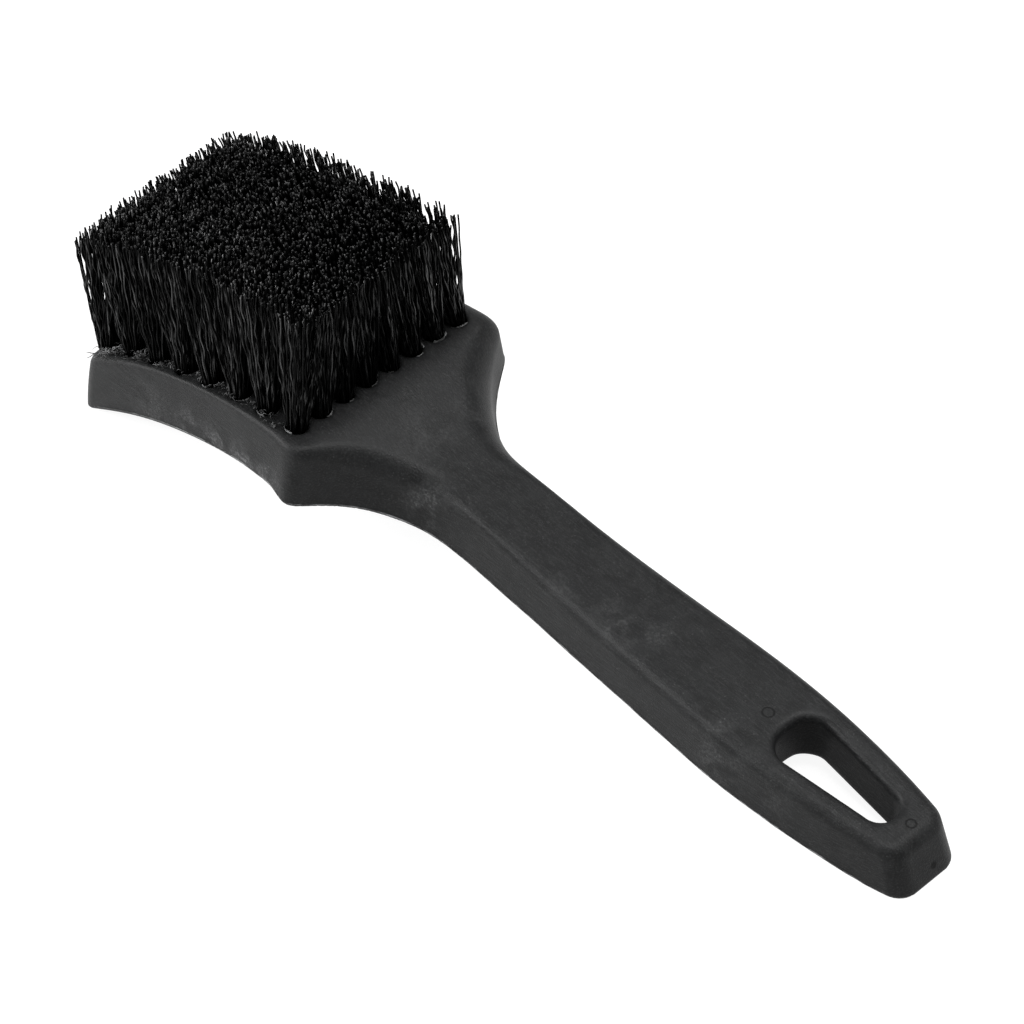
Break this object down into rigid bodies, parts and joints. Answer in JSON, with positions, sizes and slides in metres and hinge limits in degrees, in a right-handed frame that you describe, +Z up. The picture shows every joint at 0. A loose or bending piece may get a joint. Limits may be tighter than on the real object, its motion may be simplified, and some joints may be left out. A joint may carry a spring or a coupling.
{
  "type": "wheel brush",
  "caption": "Short-handled wheel and tyre scrub brush: black one-piece block and handle with a hanging hole, arched head, and stiff crimped bristle tufts.",
  "frame": {"origin": "centre of the bounding box at its bottom: the ground under the brush as it lies on its back", "axes": "+X along the brush from the toe of the head to the heel of the handle, +Z up the bristles, +Y across the head; the brush is mirror-symmetric about the XZ plane"},
  "size_m": [0.2507, 0.066, 0.0739],
  "materials": {
    "moulded_plastic": "black moulded polypropylene, satin with fine grain and light scuffs",
    "bristle": "black crimped polypropylene filament with a satin sheen",
    "anchor_steel": "flat galvanised wire, bright"
  },
  "bodies": {
    "root": {"handle_block": "moulded_plastic", "tuft_row_1_left": "bristle", "tuft_row_2_left": "bristle", "tuft_row_3_left": "bristle", "tuft_row_4_left": "bristle", "tuft_row_5_left": "bristle", "tuft_row_6_left": "bristle", "tuft_row_7_left": "bristle", "tuft_row_8_left": "bristle", "tuft_row_1_right": "bristle", "tuft_row_2_right": "bristle", "tuft_row_3_right": "bristle", "tuft_row_4_right": "bristle", "tuft_row_5_right": "bristle", "tuft_row_6_right": "bristle", "tuft_row_7_right": "bristle", "tuft_row_8_right": "bristle", "anchor_row_1": "anchor_steel", "anchor_row_2": "anchor_steel", "anchor_row_3": "anchor_steel", "anchor_row_4": "anchor_steel", "anchor_row_5": "anchor_steel", "anchor_row_6": "anchor_steel", "anchor_row_7": "anchor_steel", "anchor_row_8": "anchor_steel"}
  },
  "joints": []
}
